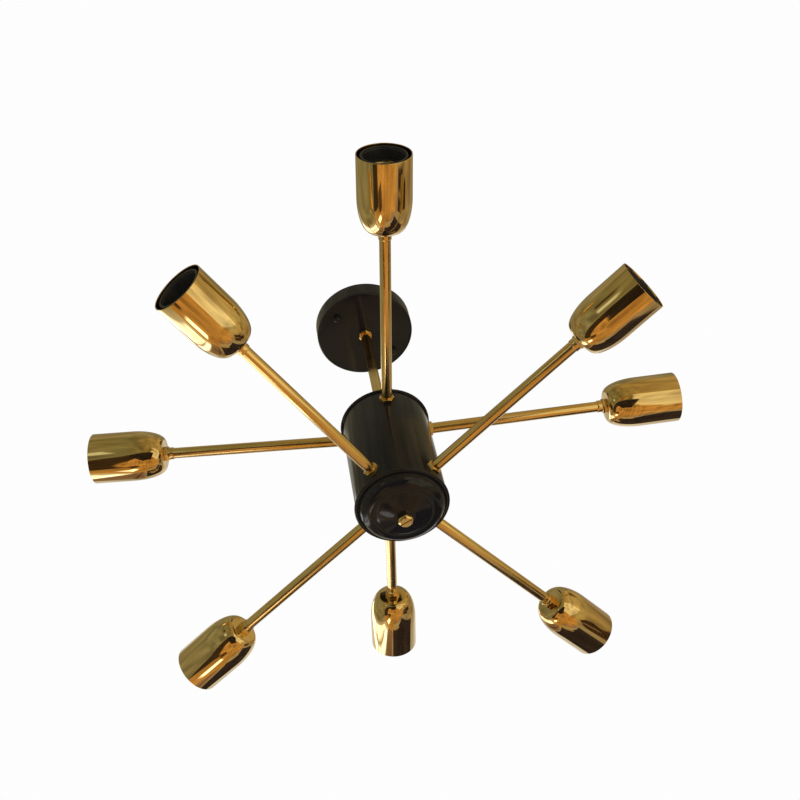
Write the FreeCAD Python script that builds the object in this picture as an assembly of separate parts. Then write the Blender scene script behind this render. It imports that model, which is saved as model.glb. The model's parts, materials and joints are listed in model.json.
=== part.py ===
import FreeCAD, Part
import math
import os

# Sputnik chandelier: a brass pipe hangs a black drum from a ceiling canopy, and eight brass arms
# stand out of the drum in two tiers, each with a polished cup around a lamp holder.
# Millimetres and degrees. The origin is on the pipe's axis in the ceiling plane, and +Z points up.

Vector = FreeCAD.Vector

# ---------------------------------------------------------------- driving dimensions

# Clearances
THREAD_GAP = 0.05          # radial play of a thread, a pin or a pressed piece
HOLE_GAP = 0.25            # radial play of a pipe or stud in a sheet-metal hole
PART_GAP = 0.3             # play between pieces that are lifted apart in service

# Threaded brass pipe, its nuts and washers
PIPE_R = 5.0
PIPE_BORE_R = 3.5
NUT_FLATS = 12.6
NUT_THICK = 4.0
ROOT_NUT_THICK = 2.6
LOCKNUT_THICK = 3.0
WASHER_R = 8.5
WASHER_THICK = 1.0

# Mounting bar on the ceiling
BAR_LENGTH = 84.0
BAR_WIDTH = 20.0
BAR_THICK = 2.0
BAR_AZIMUTH = 38.0
WIRE_HOLE_R = 6.0
FIXING_CIRCLE = 50.0       # diameter of the circle through the two ceiling screws
FIXING_HOLE_R = 2.6
STUD_R = 2.0
STUD_INSET = 5.0           # stud centre from the end of the bar
EARTH_SCREW_OFFSET = 14.0
EARTH_SCREW_HEAD_R = 3.5
EARTH_SCREW_HEAD = 2.2
CAP_NUT_FLATS = 7.0
CAP_NUT_HEX = 3.2
CAP_NUT_DOME = 2.8
STUD_PROUD = 4.0           # how far a stud stands out of the canopy's face

# Canopy
CANOPY_R = 50.0
CANOPY_DEPTH = 20.0
CANOPY_WALL = 1.0
CANOPY_EDGE_R = 2.0
PIPE_ABOVE_FACE = 9.5      # pipe inside the canopy, above its face

# Terminal block inside the canopy
BLOCK_LENGTH = 24.0
BLOCK_WIDTH = 13.0
BLOCK_HEIGHT = 11.0
BLOCK_OFFSET = 26.0        # from the axis, square to the bar
BLOCK_WAYS = 3
BLOCK_WELL_R = 2.0
BLOCK_WELL_DEPTH = 7.0
BLOCK_SCREW_R = 1.7
BLOCK_SCREW_LENGTH = 4.0

# Drum
ROD_DROP = 157.0           # canopy face to the drum's upper rim
DRUM_HEIGHT = 114.5        # upper rim to lower rim, middle of bead to middle of bead
DRUM_R = 40.8
DRUM_WALL = 1.2
WIRE_WINDOW_R = 3.0

# End caps of the drum, the same pressing at both ends
RIM_R = 42.3
RIM_HALF = 1.4             # half the thickness of the rim bead
RIM_FLAT_R = 41.0
GROOVE_R = 38.4
GROOVE_OUT = 0.5
SHOULDER_R = 35.2
SHOULDER_OUT = 7.2
CREASE_R = 24.4
CREASE_OUT = 11.2
STEP_R = 22.4
STEP_OUT = 12.2
CONE_R = 15.5
CONE_OUT = 14.8
CROWN_R = 9.5
CROWN_OUT = 16.8
CAP_WALL = 1.0
SPIGOT_LENGTH = 2.0

# Finial under the lower cap
FINIAL_FLATS = 12.6
FINIAL_R = 6.8             # the corners are turned down to this radius
FINIAL_HEIGHT = 6.0
FINIAL_CHAMFER = 1.8
FINIAL_FACE = 1.2          # metal left between the pipe's end and the finial's face
SLOT_WIDTH = 1.2
SLOT_DEPTH = 0.7
SLOT_AZIMUTH = -32.0

# Arms in two tiers: azimuth and rise of each arm, as they stand
TIER_INSET = 13.0          # root of an arm from the nearer rim
UPPER_ARMS = {
    1: (-89.8, 3.5),
    4: (174.2, 8.6),
    5: (-2.6, 0.6),
    7: (88.8, -1.5),
}
LOWER_ARMS = {
    2: (-127.9, 3.7),
    3: (-44.3, 1.9),
    6: (134.7, 0.4),
    8: (46.0, -1.1),
}
ARM_LENGTH = 170.9         # drum wall to the cup's base
ARM_TAIL = 10.0            # pipe inside the drum wall
COLLAR_R = 5.7
COLLAR_LENGTH = 4.5
PIPE_GRIP = 8.0            # pipe inside the cup's base

# Cups
CUP_R = 23.5
CUP_WALL = 0.8
CUP_LENGTH = 68.0
CUP_STRAIGHT = 37.5
CUP_BASE_R = 13.0

# Lamp holders, for lamps with a 27 mm screw cap
HOLDER_R = 20.0
HOLDER_WALL = 2.3
HOLDER_TAPER = 0.8
HOLDER_BAND = 3.0
HOLDER_RECESS = 1.0        # front edge behind the cup's lip
SKIRT_DEPTH = 11.0
SCREW_SHELL_R = 13.3
SCREW_SHELL_WALL = 0.4
SCREW_SHELL_LENGTH = 22.0
CONTACT_SPACE = 3.0
CONTACT_R = 3.5
CONTACT_THICK = 1.0
CONTACT_BUTTON_R = 2.0
HOLDER_FLOOR = 4.0
HOLDER_CAP_WALL = 1.5
HOLDER_BOSS_R = 8.0

# ---------------------------------------------------------------- places worked out from them

canopy_face_z = -CANOPY_DEPTH
stud_offset = BAR_LENGTH / 2 - STUD_INSET
upper_rim_z = canopy_face_z - ROD_DROP
lower_rim_z = upper_rim_z - DRUM_HEIGHT
drum_bore_r = DRUM_R - DRUM_WALL
thread_r = PIPE_R + THREAD_GAP
pipe_hole_r = PIPE_R + HOLE_GAP
stud_hole_r = STUD_R + THREAD_GAP
pipe_top_z = canopy_face_z + PIPE_ABOVE_FACE
crown_z = lower_rim_z - CROWN_OUT
pipe_foot_z = crown_z - FINIAL_HEIGHT + FINIAL_FACE + THREAD_GAP

cup_mouth = ARM_LENGTH + CUP_LENGTH
cup_turn = cup_mouth - CUP_STRAIGHT
holder_front = cup_mouth - HOLDER_RECESS
skirt_floor = holder_front - SKIRT_DEPTH
contact_face = skirt_floor - SCREW_SHELL_LENGTH - CONTACT_SPACE
holder_back = contact_face - HOLDER_FLOOR
holder_base = ARM_LENGTH + CUP_WALL
holder_back_r = HOLDER_R - HOLDER_TAPER
insulator_r = SCREW_SHELL_R + SCREW_SHELL_WALL + THREAD_GAP

# Azimuth, rise and root height of every arm
arms = {}
for tier, tier_z in ((UPPER_ARMS, upper_rim_z - TIER_INSET), (LOWER_ARMS, lower_rim_z + TIER_INSET)):
    for number, (azimuth, rise) in tier.items():
        arms[number] = (azimuth, rise, tier_z)


# ---------------------------------------------------------------- shape helpers
# Turned pieces are drawn with x along their axis and r away from it.

def turned(start, *steps):
    """Revolve a closed profile about X. A step is an end point, or a mid point and an end point."""
    edges = []
    here = start
    for step in list(steps) + [start]:
        if isinstance(step[0], tuple):
            middle, end = step
            points = [Vector(x, 0, r) for x, r in (here, middle, end)]
            edges.append(Part.Arc(*points).toShape())
        else:
            end = step
            edges.append(Part.makeLine(Vector(here[0], 0, here[1]), Vector(end[0], 0, end[1])))
        here = end
    face = Part.Face(Part.Wire(edges))
    return face.revolve(Vector(0, 0, 0), Vector(1, 0, 0), 360)


def ring(x0, x1, inner_r, outer_r):
    """A plain ring or pipe from x0 to x1."""
    return turned((x0, inner_r), (x0, outer_r), (x1, outer_r), (x1, inner_r))


def plug(x0, x1, radius):
    """A solid round bar from x0 to x1."""
    return Part.makeCylinder(radius, x1 - x0, Vector(x0, 0, 0), Vector(1, 0, 0))


def hex_bar(x0, x1, flats):
    """A hexagonal bar from x0 to x1, with one corner towards local Y."""
    corner_r = flats / math.sqrt(3.0)
    corners = []
    for index in range(7):
        angle = math.radians(60.0 * index)
        corners.append(Vector(x0, corner_r * math.cos(angle), corner_r * math.sin(angle)))
    return Part.Face(Part.makePolygon(corners)).extrude(Vector(x1 - x0, 0, 0))


def hex_nut(x0, x1, flats=NUT_FLATS, bore_r=thread_r):
    """A hexagonal nut whose corners are turned down at both faces."""
    corner_r = flats / math.sqrt(3.0)
    flat_r = flats / 2.0
    chamfer = (corner_r - flat_r) * math.tan(math.radians(30.0))
    turning = turned((x0, 0), (x0, flat_r), (x0 + chamfer, corner_r),
                     (x1 - chamfer, corner_r), (x1, flat_r), (x1, 0))
    return hex_bar(x0, x1, flats).common(turning).cut(plug(x0 - 1, x1 + 1, bore_r))


def offset_arc(start, middle, end, wall):
    """The three points of an arc drawn by the given three, moved towards its centre by wall."""
    circle = Part.Circle(*[Vector(x, 0, r) for x, r in (start, middle, end)])
    centre = circle.Center
    share = 1.0 - wall / circle.Radius
    return [(centre.x + (x - centre.x) * share, centre.z + (r - centre.z) * share)
            for x, r in (start, middle, end)]


def on_axis(shape, z, up):
    """Stand a turned piece on the chandelier's axis at height z, pointing up or down."""
    placed = shape.copy()
    angle = -90.0 if up else 90.0
    placed.Placement = FreeCAD.Placement(Vector(0, 0, z), FreeCAD.Rotation(Vector(0, 1, 0), angle))
    return placed


def on_bar(shape, along=0.0, across=0.0, z=0.0):
    """Move a shape to a place given along and across the mounting bar."""
    placed = shape.copy()
    turn = FreeCAD.Rotation(Vector(0, 0, 1), BAR_AZIMUTH)
    placed.Placement = FreeCAD.Placement(turn.multVec(Vector(along, across, z)), turn)
    return placed


def upright(z0, z1, radius):
    """A round bar along Z from z0 to z1."""
    return Part.makeCylinder(radius, z1 - z0, Vector(0, 0, z0))


def on_arm(shape, number):
    """Put a piece drawn along X on an arm: x = 0 is the drum wall, and x grows outwards."""
    azimuth, rise, root_z = arms[number]
    turn = FreeCAD.Rotation(Vector(0, 0, 1), azimuth)
    lift = FreeCAD.Rotation(Vector(0, 1, 0), -rise)
    placed = shape.copy()
    root = turn.multVec(Vector(DRUM_R, 0, 0)) + Vector(0, 0, root_z)
    placed.Placement = FreeCAD.Placement(root, turn.multiply(lift))
    return placed


def on_each_arm(shape):
    """One copy of a piece on every arm, as a group of separate solids."""
    return Part.makeCompound([on_arm(shape, number) for number in sorted(arms)])


# ---------------------------------------------------------------- ceiling plate

def mounting_bar():
    bar = Part.makeBox(BAR_LENGTH, BAR_WIDTH, BAR_THICK,
                       Vector(-BAR_LENGTH / 2, -BAR_WIDTH / 2, -BAR_THICK))
    holes = [(0.0, WIRE_HOLE_R), (EARTH_SCREW_OFFSET, stud_hole_r)]
    for side in (-1, 1):
        holes.append((side * FIXING_CIRCLE / 2, FIXING_HOLE_R))
        holes.append((side * stud_offset, stud_hole_r))
    for along, radius in holes:
        hole = upright(-BAR_THICK - 1, 1, radius)
        hole.translate(Vector(along, 0, 0))
        bar = bar.cut(hole)
    return on_bar(bar)


def bar_studs():
    stud = upright(canopy_face_z - STUD_PROUD, 0, STUD_R)
    return Part.makeCompound([on_bar(stud, side * stud_offset) for side in (-1, 1)])


def earth_screw():
    shank = upright(-BAR_THICK, -THREAD_GAP, STUD_R)
    head = upright(-BAR_THICK - EARTH_SCREW_HEAD, -BAR_THICK, EARTH_SCREW_HEAD_R)
    slot = Part.makeBox(2 * EARTH_SCREW_HEAD_R, SLOT_WIDTH, SLOT_DEPTH,
                        Vector(-EARTH_SCREW_HEAD_R, -SLOT_WIDTH / 2, -BAR_THICK - EARTH_SCREW_HEAD))
    return on_bar(shank.fuse(head).cut(slot), EARTH_SCREW_OFFSET)


def canopy():
    inner_edge = CANOPY_EDGE_R - CANOPY_WALL
    bend = math.sqrt(0.5)
    outer_mid = (CANOPY_DEPTH - CANOPY_EDGE_R * (1 - bend), CANOPY_R - CANOPY_EDGE_R * (1 - bend))
    inner_mid = (CANOPY_DEPTH - CANOPY_EDGE_R + inner_edge * bend,
                 CANOPY_R - CANOPY_EDGE_R + inner_edge * bend)
    dish = turned(
        (0, CANOPY_R - CANOPY_WALL), (0, CANOPY_R), (CANOPY_DEPTH - CANOPY_EDGE_R, CANOPY_R),
        (outer_mid, (CANOPY_DEPTH, CANOPY_R - CANOPY_EDGE_R)),
        (CANOPY_DEPTH, pipe_hole_r), (CANOPY_DEPTH - CANOPY_WALL, pipe_hole_r),
        (CANOPY_DEPTH - CANOPY_WALL, CANOPY_R - CANOPY_EDGE_R),
        (inner_mid, (CANOPY_DEPTH - CANOPY_EDGE_R, CANOPY_R - CANOPY_WALL)))
    dish = on_axis(dish, 0, False)
    for side in (-1, 1):
        hole = upright(canopy_face_z - 1, canopy_face_z + CANOPY_WALL + 1, STUD_R + HOLE_GAP)
        dish = dish.cut(on_bar(hole, side * stud_offset))
    return dish


def canopy_cap_nuts():
    flat_r = CAP_NUT_FLATS / 2
    height = CAP_NUT_HEX + CAP_NUT_DOME
    dome_mid = (CAP_NUT_HEX + CAP_NUT_DOME * math.sqrt(0.5), flat_r * math.sqrt(0.5))
    dome = turned((0, 0), (0, flat_r), (CAP_NUT_HEX, flat_r), (dome_mid, (height, 0)))
    well = plug(-1, STUD_PROUD + THREAD_GAP, stud_hole_r)
    nut = hex_nut(0, CAP_NUT_HEX, CAP_NUT_FLATS, stud_hole_r).fuse(dome).cut(well)
    nut = on_axis(nut, 0, False)
    nuts = []
    for side in (-1, 1):
        carrier = Part.makeCompound([nut])
        nuts.append(on_bar(carrier, side * stud_offset, 0, canopy_face_z))
    return Part.makeCompound(nuts)


def block_wells():
    """Centres of the terminal block's wells, along and across the bar."""
    pitch = BLOCK_LENGTH / BLOCK_WAYS
    middle = (BLOCK_WAYS - 1) / 2.0
    return [((way - middle) * pitch, BLOCK_OFFSET + side * BLOCK_WIDTH / 4)
            for way in range(BLOCK_WAYS) for side in (-1, 1)]


def terminal_block():
    floor_z = canopy_face_z + CANOPY_WALL
    block = Part.makeBox(BLOCK_LENGTH, BLOCK_WIDTH, BLOCK_HEIGHT,
                         Vector(-BLOCK_LENGTH / 2, BLOCK_OFFSET - BLOCK_WIDTH / 2, floor_z))
    for along, across in block_wells():
        well = upright(floor_z + BLOCK_HEIGHT - BLOCK_WELL_DEPTH, floor_z + BLOCK_HEIGHT + 1,
                       BLOCK_WELL_R)
        well.translate(Vector(along, across, 0))
        block = block.cut(well)
    return on_bar(block)


def terminal_screws():
    foot_z = canopy_face_z + CANOPY_WALL + BLOCK_HEIGHT - BLOCK_WELL_DEPTH
    screw = upright(foot_z, foot_z + BLOCK_SCREW_LENGTH, BLOCK_SCREW_R)
    return Part.makeCompound([on_bar(screw, along, across) for along, across in block_wells()])


# ---------------------------------------------------------------- pipe, drum and caps

def down_rod():
    rod = on_axis(ring(0, pipe_top_z - pipe_foot_z, PIPE_BORE_R, PIPE_R), pipe_foot_z, True)
    window = Part.makeCylinder(WIRE_WINDOW_R, 2 * PIPE_R,
                               Vector(0, 0, lower_rim_z + DRUM_HEIGHT / 2), Vector(1, 0, 0))
    return rod.cut(window)


def end_cap():
    """The pressed cap: x is the distance out of the drum from the middle of the rim bead."""
    shoulder = ((GROOVE_OUT, GROOVE_R), (SHOULDER_OUT, SHOULDER_R), (CREASE_OUT, CREASE_R))
    cone = ((STEP_OUT, STEP_R), (CONE_OUT, CONE_R), (CROWN_OUT, CROWN_R))
    inner_shoulder = offset_arc(*shoulder, CAP_WALL)
    inner_cone = [(x - CAP_WALL, r) for x, r in cone]
    spigot_r = drum_bore_r - PART_GAP
    spigot_bore_r = inner_shoulder[0][1]
    return turned(
        (CROWN_OUT, pipe_hole_r), cone[2],
        (cone[1], cone[0]),
        shoulder[2],
        (shoulder[1], shoulder[0]),
        (RIM_HALF, GROOVE_R + RIM_HALF - GROOVE_OUT),
        (RIM_HALF, RIM_FLAT_R),
        ((0, RIM_R), (-RIM_HALF, RIM_FLAT_R)),
        (-RIM_HALF, spigot_r),
        (-RIM_HALF - SPIGOT_LENGTH, spigot_r),
        (-RIM_HALF - SPIGOT_LENGTH, spigot_bore_r),
        inner_shoulder[0],
        (inner_shoulder[1], inner_shoulder[2]),
        inner_cone[0],
        (inner_cone[1], inner_cone[2]),
        (CROWN_OUT - CAP_WALL, pipe_hole_r))


def body_shell():
    length = DRUM_HEIGHT - 2 * RIM_HALF
    shell = on_axis(ring(0, length, drum_bore_r, DRUM_R), lower_rim_z + RIM_HALF, True)
    for number in sorted(arms):
        shell = shell.cut(on_arm(plug(-DRUM_R / 2, DRUM_R / 2, pipe_hole_r), number))
    return shell


def finial():
    tip = FINIAL_HEIGHT
    turning = turned((0, 0), (0, FINIAL_R), (tip - FINIAL_CHAMFER, FINIAL_R),
                     (tip, FINIAL_R - FINIAL_CHAMFER), (tip, 0))
    body = hex_bar(0, tip, FINIAL_FLATS).common(turning)
    body = body.cut(plug(-1, tip - FINIAL_FACE, thread_r))
    body = on_axis(body, crown_z, False)
    slot = Part.makeBox(4 * FINIAL_R, SLOT_WIDTH, 2 * SLOT_DEPTH,
                        Vector(-2 * FINIAL_R, -SLOT_WIDTH / 2, crown_z - tip - SLOT_DEPTH))
    slot.rotate(Vector(0, 0, 0), Vector(0, 0, 1), SLOT_AZIMUTH)
    return body.cut(slot)


# ---------------------------------------------------------------- arm roots

def saddle_reach(number):
    """How far a nut's corner reaches past its centre to meet the round wall at this arm's tilt."""
    sagitta = DRUM_R - math.sqrt(DRUM_R ** 2 - WASHER_R ** 2)
    return sagitta + WASHER_R * math.tan(math.radians(abs(arms[number][1]))) + DRUM_WALL


def drum_core(radius):
    return upright(lower_rim_z, upper_rim_z, radius)


def root_nuts():
    wall = drum_core(DRUM_R)
    nuts = []
    for number in sorted(arms):
        nut = on_arm(hex_nut(-saddle_reach(number), ROOT_NUT_THICK), number)
        nuts.append(nut.cut(wall))
    return Part.makeCompound(nuts)


def root_washers():
    core = drum_core(drum_bore_r)
    washers = []
    for number in sorted(arms):
        back = saddle_reach(number) + WASHER_THICK
        washer = on_arm(ring(-back, 0, thread_r, WASHER_R), number)
        washers.append(washer.common(core))
    return Part.makeCompound(washers)


def root_locknuts():
    nuts = []
    for number in sorted(arms):
        seat = -saddle_reach(number) - WASHER_THICK
        nuts.append(on_arm(hex_nut(seat - LOCKNUT_THICK, seat), number))
    return Part.makeCompound(nuts)


# ---------------------------------------------------------------- cups and lamp holders

def socket_cup():
    """A flat base that turns into the straight wall by a quarter of an ellipse."""
    def quarter(depth, width):
        centre = Vector(cup_turn, 0, CUP_BASE_R)
        if depth >= width:
            ellipse = Part.Ellipse(centre + Vector(-depth, 0, 0), centre + Vector(0, 0, width), centre)
        else:
            ellipse = Part.Ellipse(centre + Vector(0, 0, width), centre + Vector(-depth, 0, 0), centre)
        foot = ellipse.parameter(centre + Vector(-depth, 0, 0))
        side = ellipse.parameter(centre + Vector(0, 0, width))
        low, high = sorted((foot, side))
        if high - low > math.pi:
            low, high = high, low + 2 * math.pi
        return ellipse.toShape(low, high)

    depth = cup_turn - ARM_LENGTH
    width = CUP_R - CUP_BASE_R
    base = ARM_LENGTH
    inner_r = CUP_R - CUP_WALL

    def line(x0, r0, x1, r1):
        return Part.makeLine(Vector(x0, 0, r0), Vector(x1, 0, r1))

    edges = [
        line(base, pipe_hole_r, base, CUP_BASE_R),
        quarter(depth, width),
        line(cup_turn, CUP_R, cup_mouth, CUP_R),
        line(cup_mouth, CUP_R, cup_mouth, inner_r),
        line(cup_mouth, inner_r, cup_turn, inner_r),
        quarter(depth - CUP_WALL, width - CUP_WALL),
        line(base + CUP_WALL, CUP_BASE_R, base + CUP_WALL, pipe_hole_r),
        line(base + CUP_WALL, pipe_hole_r, base, pipe_hole_r),
    ]
    face = Part.Face(Part.Wire(Part.__sortEdges__(edges)))
    return face.revolve(Vector(0, 0, 0), Vector(1, 0, 0), 360)


def lamp_holder():
    inner_r = HOLDER_R - HOLDER_WALL
    return turned(
        (holder_back, 0), (holder_back, holder_back_r),
        (holder_front - HOLDER_BAND - HOLDER_TAPER, holder_back_r),
        (holder_front - HOLDER_BAND, HOLDER_R),
        (holder_front, HOLDER_R), (holder_front, inner_r),
        (skirt_floor, inner_r), (skirt_floor, insulator_r),
        (contact_face, insulator_r), (contact_face, 0))


def holder_cap():
    """The cap behind a lamp holder, screwed on the arm's pipe against the cup's base."""
    length = holder_back - holder_base
    neck = holder_base + length / 5
    turn = holder_base + length * 3 / 5
    middle = ((neck + turn) / 2 - length / 12, (HOLDER_BOSS_R + holder_back_r) / 2 + length / 12)
    wall = HOLDER_CAP_WALL
    return turned(
        (holder_base, thread_r), (holder_base, HOLDER_BOSS_R), (neck, HOLDER_BOSS_R),
        (middle, (turn, holder_back_r)), (holder_back, holder_back_r),
        (holder_back, holder_back_r - wall), (turn, holder_back_r - wall),
        ((middle[0] + wall, middle[1] - wall), (neck + wall, HOLDER_BOSS_R - wall)),
        (neck + wall, thread_r))


def screw_shell():
    return ring(skirt_floor - SCREW_SHELL_LENGTH, skirt_floor,
                SCREW_SHELL_R, SCREW_SHELL_R + SCREW_SHELL_WALL)


def centre_contact():
    face = contact_face + CONTACT_THICK
    return turned((contact_face, 0), (contact_face, CONTACT_R), (face, CONTACT_R),
                  (face + CONTACT_THICK, CONTACT_BUTTON_R), (face + CONTACT_THICK, 0))


# ---------------------------------------------------------------- the assembly

cap = end_cap()
arm_pipe = ring(-ARM_TAIL, holder_base + PIPE_GRIP, PIPE_BORE_R, PIPE_R)
cup = socket_cup()
holder = lamp_holder()
inner_face_z = canopy_face_z + CANOPY_WALL
cap_under_z = upper_rim_z + CROWN_OUT - CAP_WALL

nodes = {
    "mounting_bar": mounting_bar(),
    "bar_studs": bar_studs(),
    "earth_screw": earth_screw(),
    "canopy": canopy(),
    "canopy_cap_nuts": canopy_cap_nuts(),
    "terminal_block": terminal_block(),
    "terminal_screws": terminal_screws(),
    "down_rod": down_rod(),
    "canopy_nut": on_axis(hex_nut(0, NUT_THICK), canopy_face_z, False),
    "canopy_washer": on_axis(ring(0, WASHER_THICK, thread_r, WASHER_R), inner_face_z, True),
    "canopy_locknut": on_axis(hex_nut(WASHER_THICK, WASHER_THICK + LOCKNUT_THICK),
                              inner_face_z, True),
    "top_cap": on_axis(cap, upper_rim_z, True),
    "top_nut": on_axis(hex_nut(0, NUT_THICK), upper_rim_z + CROWN_OUT, True),
    "top_locknut": on_axis(hex_nut(0, LOCKNUT_THICK), cap_under_z, False),
    "body_shell": body_shell(),
    "bottom_cap": on_axis(cap, lower_rim_z, False),
    "finial": finial(),
    "root_nuts": root_nuts(),
    "root_washers": root_washers(),
    "root_locknuts": root_locknuts(),
    "cup_collars": on_each_arm(ring(ARM_LENGTH - NUT_THICK - COLLAR_LENGTH, ARM_LENGTH - NUT_THICK,
                                    thread_r, COLLAR_R)),
    "cup_nuts": on_each_arm(hex_nut(ARM_LENGTH - NUT_THICK, ARM_LENGTH)),
    "holder_caps": on_each_arm(holder_cap()),
    "screw_shells": on_each_arm(screw_shell()),
    "centre_contacts": on_each_arm(centre_contact()),
}
for number in sorted(arms):
    nodes["arm_tube_%d" % number] = on_arm(arm_pipe, number)
    nodes["socket_cup_%d" % number] = on_arm(cup, number)
    nodes["lamp_holder_%d" % number] = on_arm(holder, number)

os.makedirs("parts", exist_ok=True)
for name, shape in nodes.items():
    shape.exportStep("parts/%s.step" % name)
    print("%-20s %2d solids  %10.1f mm3  valid %s"
          % (name, len(shape.Solids), sum(solid.Volume for solid in shape.Solids), shape.isValid()))
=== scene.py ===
import json
import math

import bmesh
import bpy
from bpy.props import FloatProperty, FloatVectorProperty, IntProperty, PointerProperty
from mathutils import Matrix, Vector


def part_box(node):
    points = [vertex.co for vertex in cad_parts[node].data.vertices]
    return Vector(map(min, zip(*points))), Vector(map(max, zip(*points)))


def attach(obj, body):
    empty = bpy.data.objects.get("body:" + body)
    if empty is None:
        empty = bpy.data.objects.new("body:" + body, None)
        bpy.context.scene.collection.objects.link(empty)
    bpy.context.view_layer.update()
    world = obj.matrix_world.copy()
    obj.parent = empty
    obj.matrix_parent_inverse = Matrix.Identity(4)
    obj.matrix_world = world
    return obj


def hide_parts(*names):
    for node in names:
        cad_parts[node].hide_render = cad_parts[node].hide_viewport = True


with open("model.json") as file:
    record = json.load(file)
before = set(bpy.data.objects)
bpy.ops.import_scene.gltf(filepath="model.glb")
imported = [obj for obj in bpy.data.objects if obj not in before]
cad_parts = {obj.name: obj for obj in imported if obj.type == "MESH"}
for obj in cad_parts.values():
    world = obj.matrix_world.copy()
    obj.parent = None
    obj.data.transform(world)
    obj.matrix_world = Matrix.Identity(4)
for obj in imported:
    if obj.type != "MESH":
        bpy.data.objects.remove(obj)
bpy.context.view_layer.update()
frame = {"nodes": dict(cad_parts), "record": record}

bl_info = {
    "name": "Sputnik chandelier",
    "version": (1, 0, 0),
    "blender": (4, 5, 0),
    "location": "3D View > Sidebar > Chandelier",
    "description": "Dresses a ceiling chandelier with eight brass arms, polished cups and a black drum",
    "category": "Add Mesh",
}

# ---------------------------------------------------------------- places read from the frame

ARM_NUMBERS = range(1, 9)
MM = 0.001
SHELL_MIDDLE = 215.9 * MM      # a socket's mount lies this far out of the drum wall


def half_width(node):
    low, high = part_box(node)
    return (high.x - low.x) / 2


def height_of(node):
    low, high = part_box(node)
    return high.z - low.z


def foot_of(node):
    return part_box(node)[0].z


def top_of(node):
    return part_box(node)[1].z


def arm_frames():
    """Root on the drum wall and direction of each arm."""
    sockets = {mount["name"]: mount for mount in frame["record"]["mounts"]}
    frames = []
    for number in ARM_NUMBERS:
        mount = sockets["lamp_socket_%d" % number]
        along = Vector(mount["axis"]).normalized()
        frames.append((Vector(mount["pos_m"]) - along * SHELL_MIDDLE, along))
    return frames


CANOPY_FACE = foot_of("canopy")
LOWER_CROWN = foot_of("bottom_cap")
UPPER_CROWN = top_of("top_cap")
LOWER_RIM = foot_of("body_shell")
UPPER_RIM = top_of("body_shell")
UP, DOWN = Vector((0, 0, 1)), Vector((0, 0, -1))

# ---------------------------------------------------------------- small values of the shapes

EASE = 0.3 * MM                # usual size of an eased edge
FINE_EASE = 0.2 * MM
SOFT_EASE = 0.5 * MM
ROUND_EASE = 0.6 * MM
STEP_EASE = 0.4 * MM
NUT_EASE = 0.35 * MM
HOLE_PLAY = 0.25 * MM          # play of a hole round the pipe
SEAT_PLAY = 0.3 * MM           # play of a cap's wall in the drum
SEAT_DEPTH = 2.0 * MM          # how far a cap's wall goes into the drum
SAME_POINT = 0.002 * MM        # points nearer than this are merged
LONGEST_CUT = 0.45             # an eased corner takes at most this share of its sides
BEND_CUT = 1.2                 # cut of an eased corner that looks like a bend of radius 1
CORNER_SLOPE = math.tan(math.radians(30.0))
FACE_SHARE = 0.97              # a nut's round face, as a share of its flats
PIPE_END = 8.0 * MM            # pipe beyond a cup's base
CAP_RISES = (0.03, 0.4286, 0.6667, 0.7262, 0.881)   # groove, shoulder, crease, step, cone
RIM_FOOT = 1.2 * MM            # from a cap's groove out to its rolled rim
BEAD_FOOT = 0.93               # how far a rolled rim's bead comes in, in half thicknesses
FINIAL_FLOOR = 1.2 * MM        # metal between the finial's face and its well
BAND_SLOPE = 0.8 * MM          # slope behind a lamp holder's front band
DOME_STEPS = 8
CUP_ROUNDS, HOLDER_ROUNDS, CONTACT_ROUNDS = 96, 72, 24
THREAD_RINGS, THREAD_ROUNDS = 61, 48
# In mm: height and radius of a contact; depth behind a holder's front and how much wider its bore is.
CONTACT_PROFILE = [(0.0, 3.5), (1.0, 3.5), (1.4, 2.6), (2.0, 2.0)]
HOLDER_MOUTH = [(0.0, 0.5), (1.6, 0.4), (2.0, 0.0)]

# ---------------------------------------------------------------- sizes and finishes a user may change

def length(name, description, default):
    return FloatProperty(name=name, description=description, default=default, min=0.0,
                         precision=5, unit="LENGTH")


def colour(name, description, default):
    return FloatVectorProperty(name=name, description=description, default=default, size=3,
                               min=0.0, max=1.0, subtype="COLOR")


def share(name, description, default):
    return FloatProperty(name=name, description=description, default=default, min=0.0, max=1.0,
                         subtype="FACTOR")


class CanopySizes(bpy.types.PropertyGroup):
    """The dish at the ceiling."""
    radius: length("Radius", "Outer radius of the canopy", half_width("canopy"))
    depth: length("Depth", "Height of the canopy's side wall", height_of("canopy"))
    wall: length("Wall", "Thickness of the sheet", 1.0 * MM)
    edge: length("Edge", "Radius of the pressed edge", 2.0 * MM)
    cap_nut_flats: length("Cap nut flats", "Width across flats of the two cap nuts", 7.0 * MM)
    cap_nut_hex: length("Cap nut hex", "Height of a cap nut's six sides", 3.2 * MM)


class DrumSizes(bpy.types.PropertyGroup):
    """The drum and the pressed caps at its ends."""
    radius: length("Radius", "Outer radius of the drum wall", half_width("body_shell"))
    wall: length("Wall", "Thickness of the drum wall", 1.2 * MM)
    rim: length("Rim", "Outer radius of a cap's rolled rim", half_width("bottom_cap"))
    rim_half: length("Rim half", "Half the thickness of the rolled rim", 1.4 * MM)
    groove: length("Groove", "Radius of the groove inside the rim", 38.4 * MM)
    shoulder: length("Shoulder", "Radius at the middle of the round shoulder", 35.2 * MM)
    crease: length("Crease", "Radius of the crease under the step", 24.4 * MM)
    step: length("Step", "Radius of the step's upper edge", 22.4 * MM)
    cone: length("Cone", "Radius at the middle of the cone", 15.5 * MM)
    crown: length("Crown", "Radius of the flat crown", 9.5 * MM)
    height: length("Height", "Height of the crown over the middle of the rim", 16.8 * MM)
    cap_wall: length("Cap wall", "Thickness of the pressed sheet", 1.0 * MM)


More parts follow.
